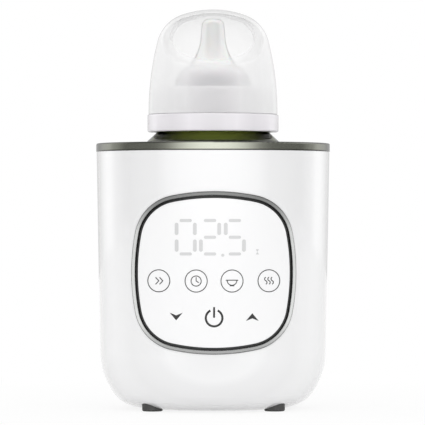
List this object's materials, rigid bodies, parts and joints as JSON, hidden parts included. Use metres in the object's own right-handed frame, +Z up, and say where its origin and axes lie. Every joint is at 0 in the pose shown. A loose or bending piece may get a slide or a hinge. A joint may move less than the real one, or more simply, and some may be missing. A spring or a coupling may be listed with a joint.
{
  "type": "bottle warmer",
  "caption": "Round countertop bottle warmer with a touch panel, a heated water well and a capped feeding bottle standing in it.",
  "frame": {"origin": "on the table plane, under the axis of the round body", "axes": "+Z up along the body's axis, -Y out of the control panel, +X to the right as the panel is read"},
  "size_m": [0.119, 0.119, 0.2031],
  "materials": {
    "shell_white": "gloss white moulding",
    "cover_white": "gloss white moulding",
    "panel_white": "gloss white light-through panel",
    "ring_metal": "satin gunmetal",
    "trim_metal": "bright gunmetal",
    "foot_rubber": "matt dark rubber",
    "gland_rubber": "matt white rubber",
    "gasket_silicone": "matt silicone",
    "screw_steel": "zinc-plated",
    "well_coating": "dark grey non-stick coating",
    "heater_aluminium": "plain cast",
    "heater_film": "amber insulating film over ceramic",
    "inner_plastic": "matt heat-resistant plastic",
    "sensor_case": "drawn metal case",
    "circuit_board": "green lacquered laminate",
    "winding_tape": "yellow winding tape",
    "relay_case": "blue moulding",
    "capacitor_can": "sleeved can",
    "terminal_case": "green moulding",
    "led_case": "black reflector block",
    "key_foam": "conductive foam",
    "bottle_clear": "clear with an olive tint",
    "teat_silicone": "translucent silicone",
    "collar_white": "white moulding",
    "cap_frosted": "frosted translucent moulding"
  },
  "bodies": {
    "warmer": {"outer_shell": "shell_white", "base_cover": "shell_white", "rubber_feet": "foot_rubber", "base_screws": "screw_steel", "top_ring": "ring_metal", "top_cover": "cover_white", "water_well": "well_coating", "well_gasket": "gasket_silicone", "well_clamp_ring": "inner_plastic", "clamp_screws": "screw_steel", "heater_plate": "heater_aluminium", "ptc_heater": "heater_film", "heater_clamp": "screw_steel", "heater_screws": "screw_steel", "thermostat": "sensor_case", "thermal_fuse": "sensor_case", "temperature_sensor": "sensor_case", "power_board": "circuit_board", "transformer": "winding_tape", "relay": "relay_case", "capacitors": "capacitor_can", "terminal_block": "terminal_case", "board_screws": "screw_steel", "control_panel": "panel_white", "panel_trim": "trim_metal", "display_board": "circuit_board", "led_display": "led_case", "touch_pads": "key_foam", "display_screws": "screw_steel", "cord_gland": "gland_rubber"},
    "bottle": {"bottle": "bottle_clear"},
    "teat": {"teat": "teat_silicone"},
    "collar": {"screw_collar": "collar_white"},
    "cap": {"dome_cap": "cap_frosted"}
  },
  "joints": [
    {"name": "bottle_lift", "type": "slide", "parent": "warmer", "child": "bottle", "axis": [0, 0, 1], "range_m": [0, 0.11]},
    {"name": "teat_rise", "type": "slide", "parent": "bottle", "child": "teat", "axis": [0, 0, 1], "range_m": [0, 0.004]},
    {"name": "collar_turn", "type": "hinge", "parent": "teat", "child": "collar", "pos_m": [0, 0, 0.15], "axis": [0, 0, 1], "range_deg": [0, 360]},
    {"name": "cap_pull", "type": "slide", "parent": "collar", "child": "cap", "axis": [0, 0, 1], "range_m": [0, 0.055]}
  ],
  "couplings": [
    {"joint": "teat_rise", "follows": "collar_turn", "m_per_rad": 0.000636}
  ]
}
